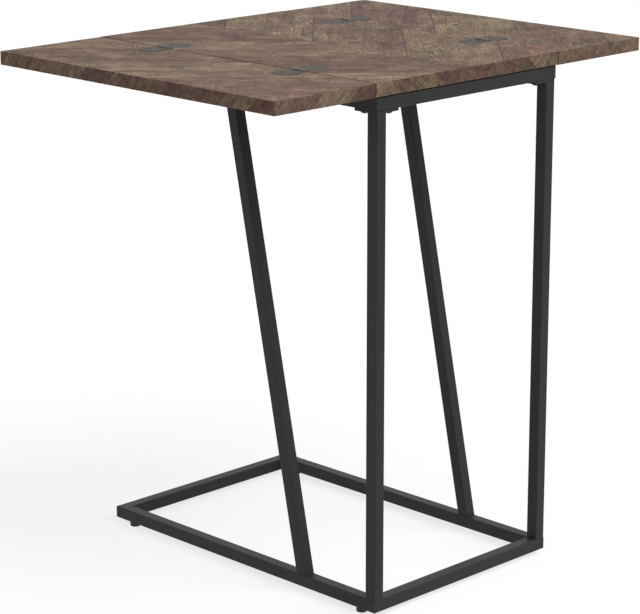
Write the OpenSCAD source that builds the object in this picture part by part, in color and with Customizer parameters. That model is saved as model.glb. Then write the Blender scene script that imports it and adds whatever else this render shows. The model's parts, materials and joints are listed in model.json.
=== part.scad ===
// Extendable accent table: a fixed middle panel on a C-shaped steel frame, with two leaves
// that swing up and over on flush dog-bone hinges and lie flat on the middle panel.
// X runs along the front edge, Y from the post side to the open side, Z up from the floor.

/* [Top] */
// Width of the fixed middle panel, which is the table's width when it is closed
panel_w = 304.8; // [260:0.1:420]
// Depth of the three panels, from the front edge to the rear edge
panel_d = 463.6; // [400:0.1:600]
// Thickness of the three panels
panel_t = 16; // [14:0.5:25]
// Height of the tabletop above the floor
table_h = 622.3; // [450:0.1:760]
// Width of the small chamfer along every panel edge
arris = 0.4; // [0.2:0.1:1.5]
// Gap between the middle panel and an open leaf
leaf_gap = 1.2; // [0.4:0.1:2]
// How far the top of an open leaf lies below the top of the middle panel
leaf_drop = 0.4; // [0:0.1:0.8]
// Gap between the two leaves where they meet when both are folded over
meet_gap = 2.2; // [0.4:0.1:4]

/* [Hinges] */
// Distance from the front or rear edge of the panels to the middle of a hinge
hinge_inset = 117.8; // [60:0.1:150]
// Diameter of the round lobe at each end of a hinge
lobe_d = 33; // [28:0.5:36]
// Distance from the hinge line to the middle of a lobe
lobe_reach = 20; // [18:0.5:26]
// Width across the waist of a hinge, where its barrel lies
waist_w = 20; // [15:0.5:24]
// Radius of the fillets where the waist runs into a lobe
waist_r = 6; // [4:0.5:8]
// Thickness of a hinge plate
hinge_plate_t = 2; // [1.8:0.1:3]
// Height of the hinge axis above the tabletop
hinge_rise = 0.25; // [0.2:0.05:0.6]
// Length of the middle knuckle, which belongs to the leaf's plate
mid_knuckle = 6.4; // [4:0.1:9]
// Gap between neighbouring knuckles
knuckle_gap = 0.2; // [0.1:0.05:0.4]
// Diameter of a hinge pin
hinge_pin_d = 2.4; // [1.6:0.1:2.6]
// Radial play of a hinge pin in its knuckles
pin_play = 0.05; // [0.02:0.01:0.1]
// Depth of a hinge pin's ends inside the barrel
pin_recess = 0.4; // [0:0.1:1]
// Clearance round a hinge plate in its pocket
pocket_gap = 0.15; // [0.05:0.05:0.4]
// Clearance between a barrel and whatever turns past it
barrel_clear = 0.35; // [0.25:0.05:0.6]

/* [Hinge screws] */
// Radius of the circle on which the screws of one lobe lie
screw_circle_r = 9.5; // [8:0.5:11]
// Number of screws in one lobe
screws_per_lobe = 3; // [3:1:4]
// Diameter of a screw's countersunk head
flat_head_d = 6.6; // [5.5:0.1:7.5]
// Diameter of a hinge screw's shank
flat_screw_d = 3; // [2.5:0.1:3.5]
// Length of a hinge screw
flat_screw_l = 12; // [8:0.5:13]

/* [Frame] */
// Side of the square tube of the rails under the middle panel
rail_tube = 16; // [15:0.5:20]
// Side of the square tube of the posts, the braces and the base
tube = 15; // [14:0.5:20]
// Wall thickness of the tubes
tube_wall = 1.2; // [0.8:0.1:1.6]
// Outside corner radius of the tubes
tube_r = 1.3; // [1:0.1:2.6]
// Distance from the sides of the middle panel in to the rails
side_inset = 2.2; // [0:0.1:20]
// Distance from the front edge of the panels back to the front rail
front_inset = 1.2; // [0:0.1:20]
// Distance from the rear edge of the panels forward to the rear rail
rear_inset = 4.6; // [0:0.1:20]
// Distance from the middle of a post back to the middle of a brace, on the base
brace_foot = 113.2; // [90:0.1:160]
// Distance from the middle of a post back to the middle of a brace, under the rail
brace_head = 231.8; // [180:0.1:280]

/* [Mounting plates] */
// Thickness of the plates at the tops of the posts and braces
plate_t = 3; // [2:0.5:5]
// Distance from the middle of a post or brace to a bolt
bolt_offset = 18.5; // [16:0.5:24]
// Distance from a bolt to the end of its plate
plate_end = 9; // [7:0.5:14]
// Diameter of a bolt's shank
bolt_d = 6; // [5:0.5:6]
// Length of a bolt's shank
bolt_l = 12; // [11:0.5:14]
// Diameter of a bolt's button head
bolt_head_d = 10.5; // [9.5:0.5:11]
// Height of a bolt's button head
bolt_head_h = 3.3; // [2.5:0.1:3.5]
// Width across the flats of the socket in a bolt's head
bolt_socket = 4; // [3:0.5:4]
// Diameter of the bolt holes in plates and rails
bolt_hole_d = 6.6; // [6.2:0.1:7]
// Width of the square nuts inside the rails
nut_w = 10; // [9:0.5:10.5]
// Thickness of the square nuts inside the rails
nut_t = 5; // [4:0.5:6]

/* [Panel screws] */
// Distance from the middle of the front or rear rail to the nearest panel screws in a side rail
side_screw_inset = 62; // [45:1:110]
// Distance from the middle of a side rail to the nearest panel screw in the front or rear rail
end_screw_inset = 67; // [45:1:100]
// Diameter of a panel screw's shank
pan_screw_d = 4; // [3:0.1:4.5]
// Diameter of a panel screw's pan head
pan_head_d = 8; // [7:0.1:8.4]
// Height of a panel screw's pan head
pan_head_h = 2.6; // [2:0.1:3]
// Depth to which a panel screw bites into the panel
pan_bite = 10; // [8:0.5:12]
// Diameter of the hole under a panel screw that lets it and a driver in
access_d = 9; // [8.6:0.1:10]
// Diameter of the hole that a panel screw's shank passes in a rail's upper wall
pan_hole_d = 4.6; // [4.6:0.1:6]

/* [Feet] */
// Diameter of a foot
foot_d = 13; // [10:0.5:15]
// Height of a foot, from the floor to the base tube
foot_h = 6; // [3:0.5:12]
// Distance from the middle of the front or rear base tube to the middle of the nearest foot
foot_inset = 20; // [16:0.5:60]
// Diameter of a foot's stem, which is pushed into the tube
foot_stem_d = 8; // [5:0.5:9]
// Length of a foot's stem
foot_stem_l = 7; // [4:0.5:10]

/* [Hidden] */
$fn = 64;

wood_colour = "#85705f";
steel_colour = "#3a3a3c";
hinge_colour = "#5e6266";
screw_colour = "#4c5054";
zinc_colour = "#a9adb2";
foot_colour = "#1c1c1e";

// How far a cut runs past the faces that it opens
over = 1;
// Side of the block that cuts a mitre or trims a brace, larger than the whole table
big = 2 * (table_h + panel_w + panel_d);

// Middle lines of the side, front and rear tubes: the base lies right below the rails
frame_x = panel_w / 2 - side_inset - rail_tube / 2;
front_y = -panel_d / 2 + front_inset + rail_tube / 2;
rear_y = panel_d / 2 - rear_inset - rail_tube / 2;
frame_mid_y = (front_y + rear_y) / 2;

// Levels, from the floor up
base_top = foot_h + tube;
panel_under = table_h - panel_t;
rail_under = panel_under - rail_tube;
plate_under = rail_under - plate_t;

// The hinge line lies in the middle of the gap beside the middle panel
hinge_x = panel_w / 2 + leaf_gap / 2;
hinge_y = panel_d / 2 - hinge_inset;
leaf_w = (panel_w - meet_gap) / 2;
// The barrel is tangent to the underside of the plates
barrel_d = 2 * (hinge_plate_t + hinge_rise);
mid_span = [[-mid_knuckle / 2, mid_knuckle / 2]];
end_spans = [[-waist_w / 2, -mid_knuckle / 2 - knuckle_gap], [mid_knuckle / 2 + knuckle_gap, waist_w / 2]];

// Radial clearance of a screw or stem in its hole, and depth of a hole past its tip
screw_play = 0.05;
tip_room = 0.5;
screw_tip_l = 2.5;
screw_tip_d = 0.8;

// Slope of the braces, from their two settings
brace_lean = atan((brace_head - brace_foot) / (rail_under - base_top));
function brace_y(z) = front_y + brace_foot + (z - base_top) * tan(brace_lean);
brace_top_y = brace_y(plate_under);

// Places of the screws in one lobe, from the middle of the lobe
lobe_screws = [for (i = [0:screws_per_lobe - 1]) let (turn = 360 * i / screws_per_lobe)
    [lobe_reach + screw_circle_r * cos(turn), screw_circle_r * sin(turn)]];
// Places of the bolts and of the panel screws, over the whole frame
plate_bolt_places = [for (s = [-1, 1]) each [
    [s * (frame_x - bolt_offset), front_y],
    [s * frame_x, front_y + bolt_offset],
    [s * frame_x, brace_top_y - bolt_offset],
    [s * frame_x, brace_top_y + bolt_offset]]];
panel_screw_places = [for (s = [-1, 1]) each [
    [s * frame_x, front_y + side_screw_inset],
    [s * frame_x, rear_y - side_screw_inset],
    [s * (frame_x - end_screw_inset), front_y],
    [s * (frame_x - end_screw_inset), rear_y]]];
foot_places = [front_y + foot_inset, rear_y - foot_inset];

// Panels

// Rectangle a by b with its corners cut off by c, standing on its lower left corner
module clipped_rect(a, b, c) {
    polygon([[c, 0], [a - c, 0], [a, c], [a, b - c], [a - c, b], [c, b], [0, b - c], [0, c]]);
}

// Board with every edge broken by the arris, its top face at z = 0 and its near corner at [0, 0]
module board(w, d, t) {
    translate([0, 0, -t]) intersection() {
        linear_extrude(t) clipped_rect(w, d, arris);
        translate([0, d, 0]) rotate([90, 0, 0]) linear_extrude(d) clipped_rect(w, t, arris);
        rotate([90, 0, 90]) linear_extrude(w) clipped_rect(d, t, arris);
    }
}

// Countersunk wood screw, its flat head at z = 0 and its tip below; grow makes the hole for it
module flat_screw(grow = 0, deeper = 0) {
    head_r = flat_head_d / 2 + grow;
    shank_r = flat_screw_d / 2 + grow;
    cone = (flat_head_d - flat_screw_d) / 2;
    end = flat_screw_l + deeper;
    lift = grow > 0 ? over : 0;
    rotate_extrude() polygon([[0, lift], [head_r, lift], [head_r, 0], [shank_r, -cone],
        [shank_r, -end + screw_tip_l], [screw_tip_d / 2 + grow, -end], [0, -end]]);
}

// Hinge frame: X points from the hinge line into a panel, Z = 0 is the tabletop

// Outline of half a hinge: a round lobe that runs through fillets into the straight waist
module lobe_outline(grow = 0, start = 0) {
    r = lobe_d / 2 + grow;
    h = waist_w / 2 + grow;
    f = waist_r - grow;
    // A fillet circle touches the side of the waist and the lobe from outside
    fx = lobe_reach - sqrt(pow(r + f, 2) - pow(h + f, 2));
    share = f / (r + f);
    tx = fx + (lobe_reach - fx) * share;
    ty = (h + f) * (1 - share);
    low = min(start, fx) - over;
    intersection() {
        translate([start, -lobe_d]) square([lobe_reach + lobe_d, 2 * lobe_d]);
        union() {
            translate([lobe_reach, 0]) circle(r);
            difference() {
                polygon([[low, -h], [fx, -h], [tx, -ty], [lobe_reach, 0], [tx, ty], [fx, h], [low, h]]);
                for (s = [-1, 1]) translate([fx, s * (h + f)]) circle(f);
            }
        }
    }
}

// Cylinder along the hinge axis over one span of Y
module along_axis(span, d) {
    translate([0, span[0], hinge_rise]) rotate([-90, 0, 0]) cylinder(h = span[1] - span[0], d = d);
}

// Hinge plate with knuckles over its own spans and notches for the spans of the other plate
module hinge_plate(own, other) {
    notch = barrel_d / 2 + barrel_clear;
    difference() {
        union() {
            translate([0, 0, -hinge_plate_t]) linear_extrude(hinge_plate_t) difference() {
                lobe_outline();
                for (s = other) translate([-over, s[0] - knuckle_gap])
                    square([notch + over, s[1] - s[0] + 2 * knuckle_gap]);
                // Outside the end knuckles the waist stands clear of the barrel too
                for (s = other) if (s[0] < 0 && s[1] < 0) translate([-over, -waist_w])
                    square([notch + over, waist_w + s[0]]);
                for (s = other) if (s[0] > 0) translate([-over, s[1]])
                    square([notch + over, waist_w]);
            }
            for (s = own) along_axis(s, barrel_d);
        }
        along_axis([-waist_w / 2 - over, waist_w / 2 + over], hinge_pin_d + 2 * pin_play);
        for (p = lobe_screws) translate([p[0], p[1], 0]) flat_screw(screw_play, tip_room);
    }
}

// What a hinge takes out of the panel that it is let into
module hinge_pocket() {
    translate([0, 0, -hinge_plate_t]) linear_extrude(hinge_plate_t + over)
        lobe_outline(pocket_gap, -leaf_gap);
    along_axis([-waist_w / 2 - tip_room, waist_w / 2 + tip_room], barrel_d + 2 * barrel_clear);
    for (p = lobe_screws) translate([p[0], p[1], 0]) flat_screw(screw_play, tip_room);
}

// Puts a child into the hinge frame of side (-1 left, 1 right), end (-1 front, 1 rear) and part
// (-1 towards the middle panel, 1 towards the leaf)
module at_hinge(side, end, part) {
    translate([side * hinge_x, end * hinge_y, table_h])
        if (side * part > 0) children();
        else mirror([1, 0, 0]) children();
}

module top_panel() {
    color(wood_colour) difference() {
        translate([-panel_w / 2, -panel_d / 2, table_h]) board(panel_w, panel_d, panel_t);
        for (s = [-1, 1], e = [-1, 1]) at_hinge(s, e, -1) hinge_pocket();
        for (p = panel_screw_places) translate([p[0], p[1], panel_under])
            translate([0, 0, -over])
                cylinder(h = pan_bite + tip_room + over, d = pan_screw_d + 2 * screw_play);
    }
}

module table_leaf(side) {
    near = hinge_x + leaf_gap / 2;
    color(wood_colour) difference() {
        translate([side > 0 ? near : -near - leaf_w, -panel_d / 2, table_h - leaf_drop])
            board(leaf_w, panel_d, panel_t);
        for (e = [-1, 1]) at_hinge(side, e, 1) hinge_pocket();
    }
}

module hinge_fixed_plate(side, end) {
    color(hinge_colour) at_hinge(side, end, -1) hinge_plate(end_spans, mid_span);
}

module hinge_leaf_plate(side, end) {
    color(hinge_colour) at_hinge(side, end, 1) hinge_plate(mid_span, end_spans);
}

module hinge_pin(side, end) {
    color(screw_colour) at_hinge(side, end, 1)
        along_axis([-waist_w / 2 + pin_recess, waist_w / 2 - pin_recess], hinge_pin_d);
}

// The screws that hold the hinges of the given sides, in the middle panel or in a leaf
module hinge_screws(sides, part) {
    color(screw_colour) for (s = sides, e = [-1, 1]) at_hinge(s, e, part)
        for (p = lobe_screws) translate([p[0], p[1], 0]) flat_screw();
}

// Steel frame

// Square with round corners, centred
module round_square(side, r) {
    square([side, side - 2 * r], center = true);
    square([side - 2 * r, side], center = true);
    for (x = [-1, 1], y = [-1, 1]) translate([x * (side / 2 - r), y * (side / 2 - r)]) circle(r);
}

// Cross-section of a tube of the given size
module tube_section(size) {
    difference() {
        round_square(size, tube_r);
        round_square(size - 2 * tube_wall, max(tube_r - tube_wall, tube_wall / 4));
    }
}

// Tube along X, its middle at the origin, mitred at both ends towards +Y
module mitred_tube(len, size) {
    difference() {
        rotate([90, 0, 90]) translate([0, 0, -len / 2]) linear_extrude(len) tube_section(size);
        for (s = [0, 1]) mirror([s, 0, 0]) translate([len / 2, -size / 2, 0]) rotate([0, 0, 45])
            translate([0, -big / 2, -big / 2]) cube(big);
    }
}

// One tube of a mitred rectangle that stands from z = level up: edge 0 front, 1 right, 2 rear, 3 left
module frame_tube(edge, level, size) {
    half_x = frame_x;
    half_y = (rear_y - front_y) / 2;
    len = size + 2 * (edge % 2 == 0 ? half_x : half_y);
    out = edge % 2 == 0 ? half_y : half_x;
    translate([0, frame_mid_y, level + size / 2]) rotate([0, 0, 90 * edge]) translate([0, -out, 0])
        mitred_tube(len, size);
}

// A rail of the top frame, with the holes for bolts, panel screws and drivers
module top_rail(edge) {
    color(steel_colour) difference() {
        frame_tube(edge, rail_under, rail_tube);
        for (p = plate_bolt_places) translate([p[0], p[1], rail_under - over])
            cylinder(h = tube_wall + 2 * over, d = bolt_hole_d);
        for (p = panel_screw_places) translate([p[0], p[1], rail_under]) {
            translate([0, 0, -over]) cylinder(h = tube_wall + 2 * over, d = access_d);
            cylinder(h = rail_tube + over, d = pan_hole_d);
        }
    }
}

// A tube of the base, with the holes for the stems of the feet
module base_tube(edge) {
    color(steel_colour) difference() {
        frame_tube(edge, foot_h, tube);
        for (s = [-1, 1], y = foot_places) translate([s * frame_x, y, foot_h - over])
            cylinder(h = tube_wall + 2 * over, d = foot_stem_d + 2 * screw_play);
    }
}

module post(side) {
    color(steel_colour) translate([side * frame_x, front_y, base_top])
        linear_extrude(plate_under - base_top) tube_section(tube);
}

// Leaning tube, cut level on the base and under its plate
module brace(side) {
    length = (plate_under - base_top) / cos(brace_lean) + 4 * tube;
    color(steel_colour) intersection() {
        translate([side * frame_x, brace_y(base_top), base_top]) rotate([-brace_lean, 0, 0])
            translate([0, 0, -2 * tube]) linear_extrude(length) tube_section(tube);
        translate([-big / 2, -big / 2, base_top]) cube([big, big, plate_under - base_top]);
    }
}

// Flat bar with rounded ends' corners: runs along X between the two given places
module flat_bar(x0, x1) {
    r = tube_r;
    translate([x0 + r, -tube / 2]) square([x1 - x0 - 2 * r, tube]);
    translate([x0, -tube / 2 + r]) square([x1 - x0, tube - 2 * r]);
    for (x = [x0 + r, x1 - r], y = [-tube / 2 + r, tube / 2 - r]) translate([x, y]) circle(r);
}

// Corner plate welded to a post: an L whose legs lie under the front rail and a side rail
module post_plate(side) {
    leg = bolt_offset + plate_end;
    color(steel_colour) translate([side * frame_x, front_y, plate_under]) mirror([side > 0 ? 1 : 0, 0, 0])
        linear_extrude(plate_t) difference() {
            union() {
                flat_bar(-tube / 2, leg);
                rotate(90) flat_bar(-tube / 2, leg);
            }
            translate([bolt_offset, 0]) circle(d = bolt_hole_d);
            translate([0, bolt_offset]) circle(d = bolt_hole_d);
        }
}

// Straight plate welded to the head of a brace, with a bolt before and behind it
module brace_plate(side) {
    reach = bolt_offset + plate_end;
    color(steel_colour) translate([side * frame_x, brace_top_y, plate_under])
        linear_extrude(plate_t) difference() {
            rotate(90) flat_bar(-reach, reach);
            for (s = [-1, 1]) translate([0, s * bolt_offset]) circle(d = bolt_hole_d);
        }
}

// Button-head bolt with a hexagon socket, its head below z = 0 and its shank above
module button_bolt() {
    dome_r = (pow(bolt_head_d / 2, 2) + pow(bolt_head_h, 2)) / (2 * bolt_head_h);
    difference() {
        intersection() {
            translate([0, 0, -bolt_head_h]) cylinder(h = bolt_head_h, d = bolt_head_d);
            translate([0, 0, dome_r - bolt_head_h]) sphere(dome_r);
        }
        translate([0, 0, -bolt_head_h - over])
            cylinder(h = bolt_head_h / 2 + over, d = bolt_socket / cos(30), $fn = 6);
    }
    cylinder(h = bolt_l, d = bolt_d);
}

module plate_bolts() {
    color(steel_colour) for (p = plate_bolt_places) translate([p[0], p[1], plate_under]) button_bolt();
}

// Square nuts held on the floor of the rails
module rail_nuts() {
    color(zinc_colour) for (p = plate_bolt_places) translate([p[0], p[1], rail_under + tube_wall])
        linear_extrude(nut_t) difference() {
            square(nut_w, center = true);
            circle(d = bolt_d + 2 * screw_play);
        }
}

// Pan-head wood screws that sit inside the rails and bite up into the middle panel
module panel_screws() {
    color(zinc_colour) for (p = panel_screw_places) translate([p[0], p[1], panel_under]) {
        translate([0, 0, -tube_wall - pan_head_h]) cylinder(h = pan_head_h, d = pan_head_d);
        translate([0, 0, -tube_wall]) cylinder(h = tube_wall + pan_bite - screw_tip_l, d = pan_screw_d);
        translate([0, 0, pan_bite - screw_tip_l]) cylinder(h = screw_tip_l, d1 = pan_screw_d, d2 = screw_tip_d);
    }
}

// Glide foot: a short disc with a broken lower edge and a stem that is pushed into the tube
module foot(side, end) {
    edge = foot_h / 8;
    color(foot_colour) translate([side * frame_x, end < 0 ? foot_places[0] : foot_places[1], 0]) {
        cylinder(h = edge, d1 = foot_d - 2 * edge, d2 = foot_d);
        translate([0, 0, edge]) cylinder(h = foot_h - edge, d = foot_d);
        cylinder(h = foot_h + foot_stem_l, d = foot_stem_d);
    }
}

top_panel();
table_leaf(-1);  // left_leaf
table_leaf(1);  // right_leaf
hinge_fixed_plate(-1, -1);  // left_front_hinge_fixed_plate
hinge_leaf_plate(-1, -1);  // left_front_hinge_leaf_plate
hinge_pin(-1, -1);  // left_front_hinge_pin
hinge_fixed_plate(-1, 1);  // left_rear_hinge_fixed_plate
hinge_leaf_plate(-1, 1);  // left_rear_hinge_leaf_plate
hinge_pin(-1, 1);  // left_rear_hinge_pin
hinge_fixed_plate(1, -1);  // right_front_hinge_fixed_plate
hinge_leaf_plate(1, -1);  // right_front_hinge_leaf_plate
hinge_pin(1, -1);  // right_front_hinge_pin
hinge_fixed_plate(1, 1);  // right_rear_hinge_fixed_plate
hinge_leaf_plate(1, 1);  // right_rear_hinge_leaf_plate
hinge_pin(1, 1);  // right_rear_hinge_pin
hinge_screws([-1, 1], -1);  // panel_hinge_screws
hinge_screws([-1], 1);  // left_leaf_hinge_screws
hinge_screws([1], 1);  // right_leaf_hinge_screws
top_rail(0);  // top_front_rail
top_rail(2);  // top_rear_rail
top_rail(3);  // top_left_rail
top_rail(1);  // top_right_rail
post(-1);  // left_post
post(1);  // right_post
brace(-1);  // left_brace
brace(1);  // right_brace
post_plate(-1);  // left_post_plate
post_plate(1);  // right_post_plate
brace_plate(-1);  // left_brace_plate
brace_plate(1);  // right_brace_plate
base_tube(0);  // base_front_tube
base_tube(2);  // base_rear_tube
base_tube(3);  // base_left_tube
base_tube(1);  // base_right_tube
plate_bolts();
rail_nuts();
panel_screws();
foot(-1, -1);  // front_left_foot
foot(1, -1);  // front_right_foot
foot(-1, 1);  // rear_left_foot
foot(1, 1);  // rear_right_foot
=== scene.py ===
# %% [markdown]
# # An extendable accent table
# The table is a small top on a C-shaped steel frame. A fixed middle panel carries a leaf on each
# side, and the leaves fold up and over on flush hinges. The exact solids come packed, with their
# bodies and joints. This lesson dresses them: camera, light, then one finish at a time, and last
# the small forms that only show from close by.

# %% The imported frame
import json
import math

import bpy
import numpy as np
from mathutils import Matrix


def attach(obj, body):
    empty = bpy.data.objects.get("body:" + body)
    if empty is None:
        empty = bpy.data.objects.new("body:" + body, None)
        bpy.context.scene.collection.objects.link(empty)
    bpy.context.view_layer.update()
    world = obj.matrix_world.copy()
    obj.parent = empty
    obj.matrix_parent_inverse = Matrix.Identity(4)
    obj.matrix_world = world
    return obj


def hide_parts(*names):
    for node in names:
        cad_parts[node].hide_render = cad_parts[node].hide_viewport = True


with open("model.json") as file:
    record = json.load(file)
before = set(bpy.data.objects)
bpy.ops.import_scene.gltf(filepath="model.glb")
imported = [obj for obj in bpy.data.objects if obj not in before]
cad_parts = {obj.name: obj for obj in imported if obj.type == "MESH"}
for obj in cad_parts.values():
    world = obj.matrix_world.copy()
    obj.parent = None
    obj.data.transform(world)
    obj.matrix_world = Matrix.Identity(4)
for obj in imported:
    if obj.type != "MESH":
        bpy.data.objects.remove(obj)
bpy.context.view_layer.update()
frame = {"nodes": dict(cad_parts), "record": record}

# %% [markdown]
# The photograph was taken from the front left corner, 15 degrees above the horizon, with a long
# lens. A long lens from 3 m keeps the uprights nearly parallel, as they are in the picture. The
# camera's place and turn were solved once from the corners of the panels and written here as
# real sizes.

# %% Camera
IMAGE_W = 640
IMAGE_H = 614
CAMERA_PLACE = (-2.0176, -2.0256, 1.0727)
CAMERA_YAW = 44.777
CAMERA_PITCH = 15.154
CAMERA_ROLL = 0.055
FOCAL_PX = 2422.4
CENTRE_PX = (320.1, 306.9)
SENSOR_MM = 36.0

camera_data = bpy.data.cameras.new("camera")
camera_data.sensor_width = SENSOR_MM
camera_data.lens = FOCAL_PX * SENSOR_MM / IMAGE_W
camera_data.shift_x = (IMAGE_W / 2 - CENTRE_PX[0]) / IMAGE_W
camera_data.shift_y = (CENTRE_PX[1] - IMAGE_H / 2) / IMAGE_W
camera = bpy.data.objects.new("camera", camera_data)
camera.location = CAMERA_PLACE
camera.rotation_euler = [math.radians(turn) for turn in (90 - CAMERA_PITCH, CAMERA_ROLL, -CAMERA_YAW)]
bpy.context.collection.objects.link(camera)
bpy.context.scene.camera = camera
bpy.context.scene.view_settings.view_transform = "Standard"
print("lens", round(camera_data.lens, 1), "mm")

# %% [markdown]
# A material is a small graph of nodes. Three helpers are enough for all of them: one turns the
# written colour, as a screen shows it, into the linear numbers that light is reckoned in, one
# adds a node with its settings and links, and one makes the empty material to build in.

# %% Helpers for materials


def linear(colour):
    """sRGB hex, such as "#85705f", to linear red, green, blue and 1. A part c below 0.04045 becomes c/12.92 and
    any other ((c + 0.055) / 1.055) to the power of 2.4."""
    parts = [int(colour[i:i + 2], 16) / 255 for i in (1, 3, 5)]
    return [c / 12.92 if c <= 0.04045 else ((c + 0.055) / 1.055) ** 2.4 for c in parts] + [1.0]


def add(tree, kind, inputs=(), **settings):
    """Adds one shader node. settings are its own values. inputs fill its sockets, in their order or by name or
    number: each is a number, a colour, a socket of another node, or a node, which stands for its first output."""
    made = tree.nodes.new("ShaderNode" + kind)
    for name, value in settings.items():
        setattr(made, name, value)
    for name, value in inputs.items() if isinstance(inputs, dict) else enumerate(inputs):
        if isinstance(value, bpy.types.Node):
            value = value.outputs[0]
        if isinstance(value, bpy.types.NodeSocket):
            tree.links.new(value, made.inputs[name])
        else:
            made.inputs[name].default_value = value
    return made


def new_material(name):
    """An empty material, the tree to build in and the output to link to."""
    material = bpy.data.materials.new(name)
    material.use_nodes = True
    tree = material.node_tree
    tree.nodes.clear()
    return material, tree, add(tree, "OutputMaterial")


print("charcoal in linear light", [round(v, 4) for v in linear("#292929")])

# %% [markdown]
# The studio is a pale floor and an even pale surround. A picture of a studio could light the scene,
# but it would bring its own colours. Plain white is enough here: the surround and the floor are
# white to the camera and in reflections, while a dimmer level lights the object, so that each
# finish keeps the colour that is written for it and the floor keeps a soft shadow.

# %% Floor and surround
FLOOR_HALF = 14.0
SURROUND_LIGHT = 0.41
FLOOR_GLOW = 0.74
WHITE = (1, 1, 1, 1)


def seen_directly(tree):
    """1 for rays from the camera, from glossy surfaces or through clear ones, else 0."""
    path = add(tree, "LightPath").outputs
    seen = add(tree, "Math", (path["Is Camera Ray"], path["Is Glossy Ray"]), operation="MAXIMUM")
    return add(tree, "Math", (seen, path["Is Transmission Ray"]), operation="MAXIMUM")


world = bpy.data.worlds.new("studio")
bpy.context.scene.world = world
world.use_nodes = True
tree = world.node_tree
tree.nodes.clear()
level = add(tree, "MapRange", {"Value": seen_directly(tree), "To Min": SURROUND_LIGHT, "To Max": 1.0})
surround = add(tree, "Background", {"Color": WHITE, "Strength": level})
add(tree, "OutputWorld", {"Surface": surround})

# White floor paint, rolled and matt: it gives the eye an even pale ground that keeps a soft shadow. The glow is
# for the camera and for reflections alone, so it lights nothing.
floor_paint, tree, output = new_material("white studio floor paint")
glow = add(tree, "MapRange", {"Value": seen_directly(tree), "To Min": 0.0, "To Max": FLOOR_GLOW})
lift = add(tree, "Emission", {"Color": WHITE, "Strength": glow})
matt = add(tree, "BsdfDiffuse", {"Color": linear("#969696")})
tree.links.new(add(tree, "AddShader", (matt, lift)).outputs[0], output.inputs["Surface"])

corners = np.array([(-1, -1, 0), (1, -1, 0), (1, 1, 0), (-1, 1, 0)], float) * FLOOR_HALF
floor_mesh = bpy.data.meshes.new("floor")
floor_mesh.from_pydata(corners.tolist(), [], [(0, 1, 2, 3)])
floor_mesh.materials.append(floor_paint)
floor = bpy.data.objects.new("floor", floor_mesh)
bpy.context.collection.objects.link(floor)
print("floor", 2 * FLOOR_HALF, "m wide, surround", SURROUND_LIGHT)

# %% [markdown]
# In the photograph the upper faces are the brightest, the front faces get about 0.85 of that light
# and the left faces about half, so the main light stands high in front and a little to the right.
# An area lamp would fall off across the scene. A sun lamp seen 45 degrees wide lights the table and
# the whole floor evenly, as a very large and distant softbox would. A weak one fills from the left.

# %% Lamps
KEY_LIGHT = 0.62
FILL_LIGHT = 0.08


def soft_sun(name, level, azimuth, elevation, width):
    """A sun lamp seen width degrees wide. azimuth is the side it shines from, in degrees from the front (-Y)
    towards the right (+X). level is the brightness that it alone gives a white surface that faces it, so its
    strength is level times pi."""
    data = bpy.data.lights.new(name, "SUN")
    data.energy = level * math.pi
    data.angle = math.radians(width)
    lamp = bpy.data.objects.new(name, data)
    lamp.rotation_euler = (math.radians(90 - elevation), 0, math.radians(azimuth))
    bpy.context.collection.objects.link(lamp)


soft_sun("key", KEY_LIGHT, azimuth=20.0, elevation=54.0, width=45.0)
soft_sun("fill", FILL_LIGHT, azimuth=-75.0, elevation=30.0, width=60.0)
print("key", KEY_LIGHT, "fill", FILL_LIGHT)

# %% [markdown]
# The top is chevron parquet. On the real table short planks of an old, greyed hardwood are cut off
# at 45 degrees, laid herringbone fashion either side of a middle line and glued to a core. The
# edges are banded with the same wood on the slant. Planks alternate between a tan and a mauve
# brown one, which is why the top reads as broad slanting stripes. Each plank could be a mesh of
# its own, but the panel is one solid board, so one graph serves them all: for any point of a panel
# it works out which plank the point is on and where on that plank. It reckons in millimetres.

# %% Where a point lies on its plank
# The height of the middle panel's face in mm, and the planks on half a face or an end, and on a side.
TOP_LEVEL = 622.3
PLANKS = 5
SIDE_BLOCKS = 11
ROOT_HALF = math.sqrt(0.5)


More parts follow.
